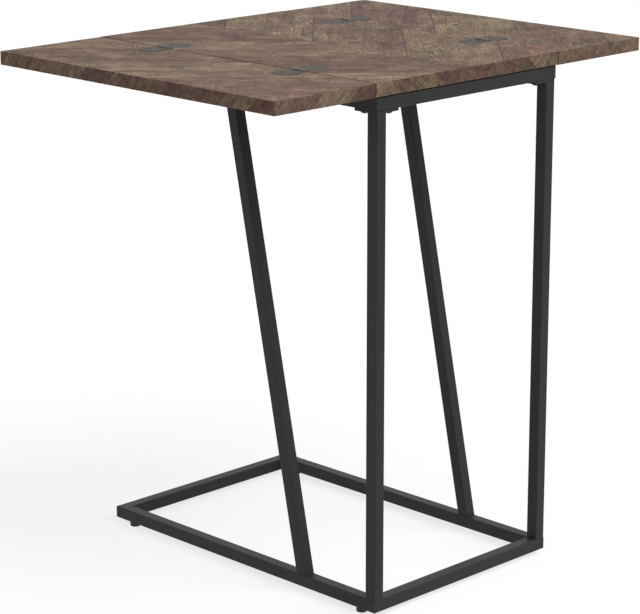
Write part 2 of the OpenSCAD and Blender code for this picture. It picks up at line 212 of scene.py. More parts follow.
def plank_place(tree, layout):
    """Splits a panel into planks. Gives each point the row of its plank in the table, u across from the plank's
    middle, the place along it, the plank's width, x from the middle line, and whether it is on an edge. The
    planks of a face slant by x and those of an edge by z, all at 45 degrees: the place across is the run along the
    panel less the skew and the place along is the run plus the skew, both times the root of a half."""
    coords = add(tree, "TexCoord").outputs
    mm = add(tree, "VectorMath", {0: coords["Object"], 3: 1000.0}, operation="SCALE")
    x, y, z = add(tree, "SeparateXYZ", (mm,)).outputs
    facing = add(tree, "VectorMath", (coords["Normal"],), operation="ABSOLUTE")
    nx, ny, nz = add(tree, "SeparateXYZ", (facing,)).outputs
    on_edge = add(tree, "Math", (nz, 0.5), operation="LESS_THAN")
    on_side = add(tree, "Math", (nx, ny), operation="GREATER_THAN")

    from_middle = add(tree, "Math", (x,), operation="ABSOLUTE")
    depth = add(tree, "Math", (z, TOP_LEVEL), operation="SUBTRACT")
    end_skew = add(tree, "Math", (depth, layout["end slant"]), operation="MULTIPLY")
    side_skew = add(tree, "Math", (depth, layout["side slant"]), operation="MULTIPLY")
    kinds = []
    for kind, run, skew in (("face", y, from_middle), ("end", x, end_skew), ("side", y, side_skew)):
        width, first_joint = layout[kind]
        across = add(tree, "Math", (run, skew), operation="SUBTRACT")
        count = add(tree, "Math", (across, -ROOT_HALF / width, first_joint * ROOT_HALF / width + 1),
                    operation="MULTIPLY_ADD")
        along = add(tree, "Math", (run, skew), operation="ADD")
        kinds.append((count, add(tree, "Math", (along, ROOT_HALF), operation="MULTIPLY"), width))
    face, end, side = kinds
    edge = [add(tree, "Mix", {0: on_side, 2: a, 3: b}, data_type="FLOAT") for a, b in zip(end, side)]
    count, along, width = [add(tree, "Mix", {0: on_edge, 2: a, 3: b}, data_type="FLOAT")
                           for a, b in zip(face, edge)]

    long_side = add(tree, "Math", (on_edge, on_side), operation="MULTIPLY")
    last = add(tree, "Mix", {0: long_side, 2: PLANKS - 1, 3: SIDE_BLOCKS - 1}, data_type="FLOAT")
    whole = add(tree, "Math", (count,), operation="FLOOR")
    whole = add(tree, "Math", (whole, 0.0), operation="MAXIMUM")
    whole = add(tree, "Math", (whole, last), operation="MINIMUM")
    right_half = add(tree, "Math", (x, 0.0), operation="GREATER_THAN")
    face_rows = add(tree, "Math", (right_half, PLANKS), operation="MULTIPLY")
    edge_rows = add(tree, "Math", (on_side, PLANKS, 2 * PLANKS), operation="MULTIPLY_ADD")
    rows = add(tree, "Mix", {0: on_edge, 2: face_rows, 3: edge_rows}, data_type="FLOAT")
    share = add(tree, "Math", (count,), operation="FRACT")
    share = add(tree, "Math", (share, 0.5), operation="SUBTRACT")
    return {"row": add(tree, "Math", (whole, rows), operation="ADD"),
            "u": add(tree, "Math", (share, width), operation="MULTIPLY"),
            "along": along, "width": width, "x": from_middle, "on_edge": on_edge}


print("planks of a panel", 3 * PLANKS + SIDE_BLOCKS)

# %% [markdown]
# Wood is uneven at every scale, from broad patches down to single fibres. Each of these patterns
# is smooth noise, stretched to its real size across and along the plank. A photograph of veneer
# would give them all at once, but it would repeat and hold one real board. What sets one plank
# apart from the next, such as its tone, is a row of numbers. A colour ramp with hard steps can
# hold such a table inside the graph: each row is one step and its colour carries four numbers.

# %% The figure of the wood
# Each pattern's size in mm across and along the plank, and how many times finer noise is laid over it.
FIGURES = {
    "sway": (50.0, 120.0, 2.0),    # how the rings wander, as the trunk did
    "ripple": (12.0, 26.0, 2.0),   # small waves in the rings
    "fibre": (1.4, 18.0, 3.0),     # fibres and pores: 0.3 mm wide in the wood, drawn coarser so that they show
    "patch": (36.0, 75.0, 2.0),    # broad patches of tan and mauve
    "cloud": (16.0, 36.0, 3.0),    # paler and darker clouds, from light and handling
    "tint": (15.0, 36.0, 3.0),     # where the old wood weathered to rust or to olive
    "streak": (5.0, 60.0, 3.0),    # long streaks of mineral colour
    "saw": (26.0, 2.6, 2.0),       # marks across the plank, one for each bite of the saw
    "clear": (26.0, 70.0, 2.0),    # where the rings show clearly and where they fade
    "curl": (6.0, 9.0, 3.0),       # short dark dabs of curly grain
    "rough": (22.0, 30.0, 2.0)}    # where sanding left the saw marks in place
PLANK_STEP = 19.37


def figure(tree, at, name):
    """One pattern of the wood, 0 to 1 and mostly about 0.5. The noise reads u over the pattern's width, the place
    along over its length, and a third number that is different for each plank and each pattern."""
    width, length, detail = FIGURES[name]
    layer = list(FIGURES).index(name) + 1
    spot = add(tree, "CombineXYZ", {
        "X": add(tree, "Math", (at["u"], width), operation="DIVIDE"),
        "Y": add(tree, "Math", (at["along"], length), operation="DIVIDE"),
        "Z": add(tree, "Math", (at["row"], PLANK_STEP, layer), operation="MULTIPLY_ADD")})
    return add(tree, "TexNoise", {"Vector": spot, "Scale": 1.0, "Detail": detail})


def plank_numbers(tree, row, rows):
    """The four numbers of one row of a table. The ramp is read at the middle of the row's step."""
    spot = add(tree, "Math", (row, 1 / len(rows), 0.5 / len(rows)), operation="MULTIPLY_ADD")
    steps = add(tree, "ValToRGB", {"Fac": spot})
    ramp = steps.color_ramp
    ramp.interpolation = "CONSTANT"
    while len(ramp.elements) < len(rows):
        ramp.elements.new(1.0)
    for k, numbers in enumerate(rows):
        ramp.elements[k].position = k / len(rows)
        ramp.elements[k].color = numbers
    split = add(tree, "SeparateColor", {"Color": steps.outputs["Color"]})
    return [*split.outputs, steps.outputs["Alpha"]]


print("patterns", ", ".join(FIGURES))

# %% [markdown]
# Flat-sawn wood shows its year rings as lines along the plank, which close into tall arches and
# long ovals where the saw ran nearly along a ring. A ring is a cylinder about the tree's core, so
# its radius is the root of the way across squared plus the height above the core squared, and that
# height changes slowly along the plank. Blender's own wave texture also draws rings, but all alike.
# Here each year has its own strength, darkens slowly to its late wood and ends at once. The rings
# are 2 mm apart, which is what the picture shows on the right-hand planks.

# %% Year rings
RING_MM = 2.0
WANDER_MM = 28.0
RIPPLE_MM = 1.4
CORE_SPAN_MM = 1600.0
RING_RISE = (0.35, 0.85)
RING_FALL = (0.88, 1.0)
YEAR_SPREAD = 0.75
CLEAR_SPREAD = 0.55
CLEAR_RANGE = (0.3, 0.65)


def year_rings(tree, at, sway, lines, centre, start, slope):
    """How dark a ring's line is at a point, 0 to 1. The radius is the root of across squared plus height squared.
    across is counted from the core's line, which centre sets, and height is slope times the way along from where
    the saw left the core, which start sets. A radius over RING_MM is the number of the ring and the place within
    it. lines is the strength of the lines on this plank. The spreads are by how much it changes from year to year
    and from clear to faded wood."""
    middle = add(tree, "Math", (centre, 0.5), operation="SUBTRACT")
    middle = add(tree, "Math", (middle, at["width"]), operation="MULTIPLY")
    across = add(tree, "Math", (at["u"], middle), operation="SUBTRACT")
    wander = add(tree, "Math", (sway, WANDER_MM, -WANDER_MM / 2), operation="MULTIPLY_ADD")
    across = add(tree, "Math", (across, wander), operation="ADD")
    core = add(tree, "Math", (start, CORE_SPAN_MM, -CORE_SPAN_MM / 2), operation="MULTIPLY_ADD")
    height = add(tree, "Math", (at["along"], core), operation="SUBTRACT")
    height = add(tree, "Math", (height, slope), operation="MULTIPLY")
    square = add(tree, "Math", (height, height), operation="MULTIPLY")
    square = add(tree, "Math", (across, across, square), operation="MULTIPLY_ADD")
    radius = add(tree, "Math", (square,), operation="SQRT")
    ripple = figure(tree, at, "ripple")
    ripple = add(tree, "Math", (ripple, RIPPLE_MM, -RIPPLE_MM / 2), operation="MULTIPLY_ADD")
    radius = add(tree, "Math", (radius, ripple), operation="ADD")

    ring = add(tree, "Math", (radius, RING_MM), operation="DIVIDE")
    number = add(tree, "Math", (ring,), operation="FLOOR")
    number = add(tree, "Math", (number, at["row"]), operation="ADD")
    year = add(tree, "TexWhiteNoise", {"W": number}, noise_dimensions="1D")
    place = add(tree, "Math", (ring,), operation="FRACT")
    rise = add(tree, "MapRange", (place, *RING_RISE), interpolation_type="SMOOTHSTEP")
    fall = add(tree, "MapRange", (place, *RING_FALL), interpolation_type="SMOOTHSTEP")
    line = add(tree, "Math", (rise, fall), operation="SUBTRACT")
    strength = add(tree, "Math", (year, YEAR_SPREAD, 1 - YEAR_SPREAD), operation="MULTIPLY_ADD")
    line = add(tree, "Math", (line, strength), operation="MULTIPLY")
    clear = add(tree, "MapRange", (figure(tree, at, "clear"), *CLEAR_RANGE), interpolation_type="SMOOTHSTEP")
    clear = add(tree, "Math", (clear, CLEAR_SPREAD, 1 - CLEAR_SPREAD), operation="MULTIPLY_ADD")
    shown = add(tree, "Math", (lines, clear), operation="MULTIPLY")
    return add(tree, "Math", (line, shown), operation="MULTIPLY")


print("rings", RING_MM, "mm apart")

# %% [markdown]
# The planks were sawn and hardly sanded, so most carry marks across the grain. A blade leaves them
# slightly bowed, and sanding takes them off in some places and not in others. Even stripes would
# look like linen, so the marks are noise that is short along the plank, bent by the same sway as
# the rings and faded in patches. Between the planks runs a thin dark line of glue.

# %% Saw marks and glue lines
SAW_BOW_MM = 34.0
SAW_ROUGH = 1.5
SAW_SANDED = 0.45
ROUGH_RANGE = (0.4, 0.65)
GLUE_MM = (0.3, 1.0)
GLUE_ON_EDGE = 0.2
OFF_FACE_MM = 9.0


def saw_marks(tree, at, sway):
    """How much paler or darker the saw left a point: noise read at the place along plus a bow that follows the
    sway, less its mean, times a depth that is greater where the plank is rough."""
    bowed = add(tree, "Math", (sway, SAW_BOW_MM, at["along"]), operation="MULTIPLY_ADD")
    marks = figure(tree, dict(at, along=bowed), "saw")
    marks = add(tree, "Math", (marks, 0.5), operation="SUBTRACT")
    rough = add(tree, "MapRange", (figure(tree, at, "rough"), *ROUGH_RANGE), interpolation_type="SMOOTHSTEP")
    depth = add(tree, "Math", (rough, SAW_ROUGH, SAW_SANDED), operation="MULTIPLY_ADD")
    return add(tree, "Math", (marks, depth), operation="MULTIPLY")


def glue_lines(tree, at):
    """1 on a glue line, 0 beside it, and fainter on the edges. The way to the line is half the plank's width less
    the way across from its middle, or the way to the middle line of the panel if that is less. On an edge there
    is no middle line, so the way to it is at least OFF_FACE_MM there."""
    half = add(tree, "Math", (at["width"], 0.5), operation="MULTIPLY")
    aside = add(tree, "Math", (at["u"],), operation="ABSOLUTE")
    away = add(tree, "Math", (half, aside), operation="SUBTRACT")
    off_face = add(tree, "Math", (at["on_edge"], OFF_FACE_MM), operation="MULTIPLY")
    middle_line = add(tree, "Math", (at["x"], off_face), operation="MAXIMUM")
    away = add(tree, "Math", (away, middle_line), operation="MINIMUM")
    beside = add(tree, "MapRange", (away, *GLUE_MM), interpolation_type="SMOOTHSTEP")
    glue = add(tree, "Math", (1.0, beside), operation="SUBTRACT")
    faint = add(tree, "Mix", {0: at["on_edge"], 2: 1.0, 3: GLUE_ON_EDGE}, data_type="FLOAT")
    return add(tree, "Math", (glue, faint), operation="MULTIPLY")


print("saw marks bow by", SAW_BOW_MM, "mm, glue lines end", GLUE_MM[1], "mm from a joint")

# %% [markdown]
# The colour of old timber goes from tan to mauve brown. Broad patches take a plank part of the way
# towards the other tone, and the weather has turned small areas to rust on warm planks and to olive
# on cool ones. Three mixes in a row do that, and leave the light and dark to the next step.

# %% Weathered colours
TAN = "#7e6b58"
MAUVE = "#634c46"
RUST = "#7b5145"
OLIVE = "#76684e"
PATCH_DEPTH = 2.4
TINT_SHARE = 0.6
RUST_RANGE = (0.45, 0.75)
OLIVE_RANGE = (0.3, 0.5)


def weathered_colour(tree, at, tone, warmth):
    """Tan to mauve by tone plus the patches, then towards rust where the tint is high, times warmth, and towards
    olive where it is low, times 1 less warmth."""
    patch = add(tree, "Math", (figure(tree, at, "patch"), 0.5), operation="SUBTRACT")
    mauve = add(tree, "Math", (patch, PATCH_DEPTH, tone), operation="MULTIPLY_ADD")
    tint = figure(tree, at, "tint")
    warm = add(tree, "Math", (warmth, TINT_SHARE), operation="MULTIPLY")
    rust = add(tree, "MapRange", (tint, *RUST_RANGE), interpolation_type="SMOOTHSTEP")
    rust = add(tree, "Math", (rust, warm), operation="MULTIPLY")
    cool = add(tree, "Math", (warmth, -TINT_SHARE, TINT_SHARE), operation="MULTIPLY_ADD")
    olive = add(tree, "MapRange", (tint, *OLIVE_RANGE, 1.0, 0.0), interpolation_type="SMOOTHSTEP")
    olive = add(tree, "Math", (olive, cool), operation="MULTIPLY")
    colour = linear(TAN)
    for share, other in ((mauve, MAUVE), (rust, RUST), (olive, OLIVE)):
        colour = add(tree, "Mix", {0: share, 6: colour, 7: linear(other)}, data_type="RGBA").outputs[2]
    return colour


print("wood from", TAN, "to", MAUVE)

# %% [markdown]
# Each pattern makes the colour a little paler or darker, so each becomes one factor near 1, and the
# factors multiply. Mixing dark colours in one by one would do it too, but then each needs a colour
# of its own. The edges show the wood from another side, so there the fibres are stronger and the
# rings and clouds weaker.

# %% Light and dark of the wood
# The pairs are depths on the faces and on the edges.
RING_DEPTH = (-1.15, -0.4)
FIBRE_DEPTH = (2.1, 2.8)
CLOUD_DEPTH = (1.7, 0.5)
STREAK_DEPTH = (0.8, 0.3)
RING_LEVEL = 1.08
CURL_DEPTH = 2.6
GLUE_DEPTH = -0.6
DARKEST_PLANK = 0.85
LIGHT_SPREAD = 0.3


def wood_shade(tree, at, light, curl, line, glue, fibre, saw):
    """What the colour is multiplied by. light gives the plank's own level, and on the ends and sides it also holds
    painted light. The factor of the rings is RING_LEVEL plus RING_DEPTH times their line, and that of each other
    pattern is 1 plus its depth times the pattern less its mean."""
    curly = add(tree, "Math", (curl, CURL_DEPTH), operation="MULTIPLY")
    curls = add(tree, "Math", (figure(tree, at, "curl"), 0.5), operation="SUBTRACT")
    swings = [saw, add(tree, "Math", (curls, curly), operation="MULTIPLY"),
              add(tree, "Math", (glue, GLUE_DEPTH), operation="MULTIPLY")]
    for pattern, (on_face, on_edge) in ((fibre, FIBRE_DEPTH), (figure(tree, at, "cloud"), CLOUD_DEPTH),
                                        (figure(tree, at, "streak"), STREAK_DEPTH)):
        depth = add(tree, "Mix", {0: at["on_edge"], 2: on_face, 3: on_edge}, data_type="FLOAT")
        swing = add(tree, "Math", (pattern, 0.5), operation="SUBTRACT")
        swings.append(add(tree, "Math", (swing, depth), operation="MULTIPLY"))
    depth = add(tree, "Mix", {0: at["on_edge"], 2: RING_DEPTH[0], 3: RING_DEPTH[1]}, data_type="FLOAT")
    factors = [add(tree, "Math", (line, depth, RING_LEVEL), operation="MULTIPLY_ADD")]
    factors += [add(tree, "Math", (swing, 1.0), operation="ADD") for swing in swings]
    shade = add(tree, "Math", (light, LIGHT_SPREAD, DARKEST_PLANK), operation="MULTIPLY_ADD")
    for factor in factors:
        shade = add(tree, "Math", (shade, factor), operation="MULTIPLY")
    return shade


print("factors: light, rings, saw marks, curl, glue, fibres, clouds, streaks")

# %% [markdown]
# Now the parts come together in one material. Rings and fibres also stand in the surface by some
# hundredths of a millimetre, too little for a mesh, so a bump gives them to the light. The real top
# has a matt lacquer: it is rough and mirrors little, so the wood shows by its colour alone.

# %% Chevron parquet
FINER_ON_EDGE = 1.6
LINE_RELIEF = -0.4
FIBRE_RELIEF = 0.5
GLUE_RELIEF = -3.0
RELIEF_M = 0.0001
RELIEF_STRENGTH = 0.5
LACQUER_ROUGHNESS = 0.66
FIBRE_ROUGHNESS = 0.15
LACQUER_SPECULAR = 0.2


def parquet(name, layout, rows):
    """Old greyed hardwood, sawn and matt lacquered: it gives the eye dull brown stripes with soft lines and no
    shine. A row of the table describes a plank: tone 0 tan to 1 mauve, warmth 0 olive to 1 rust, light 0 dark to 1
    pale, lines 0 to 1 for the strength of its rings, centre 0 to 1 for the core's place across the plank, start 0
    to 1 for its place from -800 to 800 mm along it, slope, by which the saw left the core, and curl 0 to 1 for
    curly grain."""
    material, tree, output = new_material(name)
    at = plank_place(tree, layout)
    tone, warmth, light, lines = plank_numbers(tree, at["row"], [row[:4] for row in rows])
    centre, start, slope, curl = plank_numbers(tree, at["row"], [row[4:] for row in rows])
    sway = figure(tree, at, "sway")
    line = year_rings(tree, at, sway, lines, centre, start, slope)
    glue = glue_lines(tree, at)
    finer = add(tree, "Mix", {0: at["on_edge"], 2: 1.0, 3: FINER_ON_EDGE}, data_type="FLOAT")
    finer = add(tree, "Math", (at["u"], finer), operation="MULTIPLY")
    fibre = figure(tree, dict(at, u=finer), "fibre")
    shade = wood_shade(tree, at, light, curl, line, glue, fibre, saw_marks(tree, at, sway))
    colour = weathered_colour(tree, at, tone, warmth)
    colour = add(tree, "VectorMath", {0: colour, 3: shade}, operation="SCALE")

    relief = add(tree, "Math", (glue, GLUE_RELIEF), operation="MULTIPLY")
    relief = add(tree, "Math", (fibre, FIBRE_RELIEF, relief), operation="MULTIPLY_ADD")
    relief = add(tree, "Math", (line, LINE_RELIEF, relief), operation="MULTIPLY_ADD")
    bump = add(tree, "Bump", {"Height": relief, "Strength": RELIEF_STRENGTH, "Distance": RELIEF_M})
    roughness = add(tree, "Math", (fibre, FIBRE_ROUGHNESS, LACQUER_ROUGHNESS), operation="MULTIPLY_ADD")
    shader = add(tree, "BsdfPrincipled", {
        "Base Color": colour, "Roughness": roughness, "Specular IOR Level": LACQUER_SPECULAR, "Normal": bump})
    tree.links.new(shader.outputs[0], output.inputs["Surface"])
    return material


print("one unit of relief is", RELIEF_M * 1000, "mm")

# %% [markdown]
# The real planks differ, so each has its own row of numbers, read off the photograph: a tan
# one beside a mauve one, a plain one beside one with an arch. The rows of a panel go round it in
# this order: the left half of the face, the right half, the two ends at the front and rear, and
# the two long sides. Faces and sides are counted from the rear, and ends from the right.

# %% The planks of each panel
# The columns are tone, warmth, light, lines, centre, start, slope and curl.
middle_face = [
    (0.2, 0.1, 0.5, 0.4, 0.3, 0.1, 0.05, 0.5),
    (0.9, 0.5, 0.25, 0.2, 0.7, 0.9, 0.06, 0.4),
    (0.25, 0.35, 0.5, 0.4, 0.4, 0.2, 0.05, 0.2),
    (0.9, 0.5, 0.3, 0.2, 0.2, 0.7, 0.05, 0.3),
    (0.0, 0.3, 0.9, 0.3, 0.5, 0.2, 0.05, 0.2),
    (0.95, 0.2, 0.0, 0.3, 0.5, 0.2, 0.03, 0.5),       # from here on the right half
    (0.25, 0.4, 0.4, 0.7, 0.95, 0.9, 0.04, 0.3),
    (0.7, 0.45, 0.5, 0.75, 0.7, 0.8, 0.1, 0.35),
    (0.1, 0.4, 0.6, 1.0, 0.272, 0.256, 0.06, 0.05),   # the arch beside the right front hinge
    (0.6, 0.9, 0.5, 0.6, 0.8, 0.3, 0.04, 0.3)]
# The end rows' light level is raised a little, here and in the leaves' ends: painted light on the end edges.
middle_ends = [
    (0.3, 0.4, 0.35, 0.7, 0.0, 0.0, 0.05, 0.5),
    (0.8, 0.5, 0.2, 0.4, 0.1, 0.1, 0.05, 0.5),
    (0.3, 0.4, 0.4, 0.6, 0.3, 0.2, 0.05, 0.5),
    (0.9, 0.5, 0.3, 0.4, 0.2, 0.2, 0.05, 0.5),
    (0.1, 0.5, 0.4, 0.4, 0.5, 0.5, 0.05, 0.5)]
leaf_face = [
    (0.35, 0.35, 0.5, 0.4, 0.4, 0.2, 0.05, 0.4),
    (0.8, 0.5, 0.5, 0.2, 0.7, 0.8, 0.05, 0.5),
    (0.2, 0.3, 0.6, 0.4, 0.3, 0.45, 0.07, 0.3),
    (0.6, 0.7, 0.5, 0.3, 0.6, 0.3, 0.06, 0.3),
    (0.3, 0.6, 0.75, 0.3, 0.2, 0.2, 0.08, 0.3),
    (0.35, 0.35, 0.5, 0.5, 0.4, 0.2, 0.05, 0.4),      # from here on the right leaf
    (0.8, 0.5, 0.4, 0.4, 0.7, 0.8, 0.05, 0.6),
    (0.1, 0.3, 0.65, 1.0, 0.25, 0.53, 0.07, 0.05),    # the long ovals behind the right front hinge
    (0.6, 0.8, 0.55, 0.7, 0.6, 0.3, 0.06, 0.4),
    (0.35, 0.6, 0.6, 0.6, 0.2, 0.2, 0.08, 0.3)]
left_ends = [
    (0.85, 0.5, 0.2, 0.3, 0.0, 0.0, 0.05, 0.3),
    (0.2, 0.1, 0.75, 0.7, 0.1, 0.1, 0.05, 0.2),
    (0.4, 0.8, 0.8, 0.5, 0.9, 0.9, 0.05, 0.4),
    (0.3, 0.5, 0.6, 0.4, 0.2, 0.2, 0.05, 0.5),
    (0.4, 0.5, 0.6, 0.4, 0.5, 0.5, 0.05, 0.5)]
right_ends = [
    (0.2, 0.8, 0.8, 0.5, 0.0, 0.0, 0.05, 0.5),
    (0.3, 0.5, 0.6, 0.5, 0.1, 0.1, 0.05, 0.3),
    (0.25, 0.2, 0.6, 0.5, 0.9, 0.9, 0.05, 0.3),
    (0.3, 0.3, 0.6, 0.5, 0.2, 0.2, 0.05, 0.4),
    (0.3, 0.5, 0.5, 0.5, 0.5, 0.5, 0.05, 0.5)]
# The side rows' light level is high: painted light that brightens the panels' long sides.
long_sides = [
    (0.4, 0.1, 0.8, 0.6, 0.0, 0.0, 0.05, 0.4),
    (0.6, 0.1, 0.8, 0.6, 0.7, 0.3, 0.05, 0.4),
    (0.5, 0.1, 0.9, 0.5, 0.1, 0.1, 0.05, 0.5),
    (0.2, 0.0, 0.9, 0.5, 0.4, 0.6, 0.05, 0.5),
    (1.0, 0.4, 0.8, 0.4, 0.9, 0.9, 0.05, 0.5),
    (0.9, 0.5, 0.9, 0.4, 0.9, 0.2, 0.05, 0.5),
    (0.9, 0.7, 0.8, 0.3, 0.2, 0.2, 0.05, 0.5),
    (1.0, 0.4, 0.7, 0.3, 0.2, 0.7, 0.05, 0.5),
    (0.7, 0.5, 1.0, 0.4, 0.3, 0.4, 0.05, 0.5),
    (0.2, 0.1, 1.0, 0.3, 0.6, 0.3, 0.05, 0.4),
    (1.0, 0.9, 0.8, 0.3, 0.5, 0.5, 0.05, 0.5)]
print("rows", len(middle_face + middle_ends + long_sides), "for each panel")

# %% [markdown]
# The joints lie where the photograph shows them. A leaf's planks carry on the slant of the middle
# panel's but not its joints, as if each panel was cut from its own sheet of parquet.

# %% Parquet of the three panels
# A plank's width and the place of its first joint in mm: y on the middle line for the face, x on the top arris for
# the ends and y there for the sides. A slant of 1 or -1 is the way in which the joints of an edge lean.
middle_layout = {"face": (109.6, 176.0), "end": (110.0, 97.0), "side": (32.9, 213.5),
                 "end slant": -1.0, "side slant": -1.0}
left_layout = {"face": (101.4, -48.0), "end": (39.6, -177.0), "side": (32.9, 213.5),
               "end slant": 1.0, "side slant": -1.0}
right_layout = dict(left_layout, end=(39.6, 240.0))
panel_wood = {
    "top_panel": parquet("chevron parquet of the middle panel", middle_layout,
                         middle_face + middle_ends + long_sides),
    "left_leaf": parquet("chevron parquet of the left leaf", left_layout, leaf_face + left_ends + long_sides),
    "right_leaf": parquet("chevron parquet of the right leaf", right_layout, leaf_face + right_ends + long_sides)}
print("wood nodes", len(panel_wood["top_panel"].node_tree.nodes))

# %% [markdown]
# The frame is welded from square steel tube and powder coated: dry paint is sprayed on with a
# static charge and baked, and it melts to a tough skin with a very fine orange peel. The top rails
# carry the panel, and little light comes out of the narrow groove between them, which shows as a
# black line. Light alone would leave it grey, so painted shade turns the finish black and dull above
# the rail's top corner.

# %% Painted shade in the groove
GROOVE_LEVEL = 604.7
GROOVE_BLUR = 0.5


def painted_groove_shade(tree, mm, base, swing, roughness):
    """Painted shade: black and dull above GROOVE_LEVEL. The share left unshaded falls from 1 to 0 over GROOVE_BLUR
    and multiplies the colour.
    """
    z = add(tree, "SeparateXYZ", (mm,)).outputs["Z"]
    unshaded = add(tree, "MapRange", (z, GROOVE_LEVEL, GROOVE_LEVEL + GROOVE_BLUR, 1.0, 0.0),
                interpolation_type="SMOOTHSTEP")
    swing = add(tree, "Math", (swing, unshaded), operation="MULTIPLY")
    return base, swing, add(tree, "Mix", {0: unshaded, 2: 1.0, 3: roughness}, data_type="FLOAT")


print("groove above", GROOVE_LEVEL, "mm")

# %% [markdown]
# The hinges are steel with a flat gunmetal finish. Their lobes are let into the wood and are darker
# along the rim of each. The knuckles are paler: rubbed where the leaf turns against them, and
# lightened by painted light that offsets the shade on the proud barrel. Both follow from the place
# on the table: how far a point is from the hinge line, and how far from the middle of the nearest
# lobe.

# %% Wear, painted light and dark rims on the hinges
HINGE_LINE = 153.0
HINGE_Y = 114.0
LOBE_REACH = 20.0
LOBE_RADIUS = 16.5
RIM_MM = (2.2, 0.7)
RIM_DEPTH = -0.4
WAIST_MM = (6.0, 9.0)
KNUCKLE_MM = (2.2, 3.0)
KNUCKLE_RUBBED_AND_LIT = "#7b766f"


def hinge_marks_and_painted_light(tree, mm, base, swing, roughness):
    """Mixes in the paler knuckle colour near the hinge line, rubbed wear and painted light against the barrel's
    shade, and darkens the rim of each lobe. The paler colour fades out between the two KNUCKLE_MM from the line.
    The rim is the way from the lobe's middle, fading in between the two RIM_MM from the lobe's edge, and it leaves
    out the waist, which ends between the two WAIST_MM from the line."""
    x, y, z = add(tree, "SeparateXYZ", (mm,)).outputs
    from_line = add(tree, "Math", (x,), operation="ABSOLUTE")
    from_line = add(tree, "Math", (from_line, HINGE_LINE), operation="SUBTRACT")
    from_line = add(tree, "Math", (from_line,), operation="ABSOLUTE")
    # Painted light as well as rubbed wear: the knuckle is paler, which offsets the shade on the proud barrel.
    knuckle = add(tree, "MapRange", (from_line, *KNUCKLE_MM, 1.0, 0.0), interpolation_type="SMOOTHSTEP")
    base = add(tree, "Mix", {0: knuckle, 6: base, 7: linear(KNUCKLE_RUBBED_AND_LIT)}, data_type="RGBA").outputs[2]

    out = add(tree, "Math", (from_line, LOBE_REACH), operation="SUBTRACT")
    aside = add(tree, "Math", (y,), operation="ABSOLUTE")
    aside = add(tree, "Math", (aside, HINGE_Y), operation="SUBTRACT")
    square = add(tree, "Math", (aside, aside), operation="MULTIPLY")
    square = add(tree, "Math", (out, out, square), operation="MULTIPLY_ADD")
    from_middle = add(tree, "Math", (square,), operation="SQRT")
    rim = add(tree, "MapRange", (from_middle, LOBE_RADIUS - RIM_MM[0], LOBE_RADIUS - RIM_MM[1]),
              interpolation_type="SMOOTHSTEP")
    past_waist = add(tree, "MapRange", (from_line, *WAIST_MM), interpolation_type="SMOOTHSTEP")
    rim = add(tree, "Math", (rim, past_waist), operation="MULTIPLY")
    rim_darkening = add(tree, "Math", (rim, RIM_DEPTH, 1.0), operation="MULTIPLY_ADD")
    return base, add(tree, "Math", (swing, rim_darkening), operation="MULTIPLY"), roughness


print("hinges at", HINGE_LINE, "and", HINGE_Y, "mm from the middle")

# %% [markdown]
# Apart from that wear and painted light, and the painted shade in the groove, the finishes are plain: one
# colour, a fine relief and faint clouds, because nothing that was sprayed, plated or moulded is quite even.
# One function makes them all, and above each call stands what the real finish is and what it gives the eye.

# %% Steel and plastic finishes
CLOUD_MM = 35.0
ROUGHNESS_SWING = 0.12


def finish(name, colour, metal, rough, specular, grain_mm, depth_um, patch, wear_and_painted_light=None):
    """A plain finish. grain_mm is the size of one bump and depth_um its height, patch the share by which the
    colour swings, and the last argument a function that changes the colour, its swing and the roughness in places,
    for wear or for painted shade and light."""
    material, tree, output = new_material(name)
    coords = add(tree, "TexCoord").outputs
    mm = add(tree, "VectorMath", {0: coords["Object"], 3: 1000.0}, operation="SCALE")
    grain = add(tree, "TexNoise", {"Vector": mm, "Scale": 1 / grain_mm, "Detail": 2.0})
    cloud = add(tree, "TexNoise", {"Vector": mm, "Scale": 1 / CLOUD_MM, "Detail": 5.0})
    base = linear(colour)
    swing = add(tree, "Math", (cloud, 2 * patch, 1 - patch), operation="MULTIPLY_ADD")
    roughness = add(tree, "Math", (cloud, ROUGHNESS_SWING, rough - ROUGHNESS_SWING / 2), operation="MULTIPLY_ADD")
    if wear_and_painted_light:
        base, swing, roughness = wear_and_painted_light(tree, mm, base, swing, roughness)
    shade = add(tree, "Mix", {0: 1.0, 6: base, 7: swing}, data_type="RGBA", blend_type="MULTIPLY").outputs[2]
    bump = add(tree, "Bump", {"Height": grain, "Strength": 1.0, "Distance": depth_um * 1e-6})
    shader = add(tree, "BsdfPrincipled", {
        "Base Color": shade, "Metallic": metal, "Roughness": roughness, "Specular IOR Level": specular,
        "Normal": bump})
    tree.links.new(shader.outputs[0], output.inputs["Surface"])
    return material


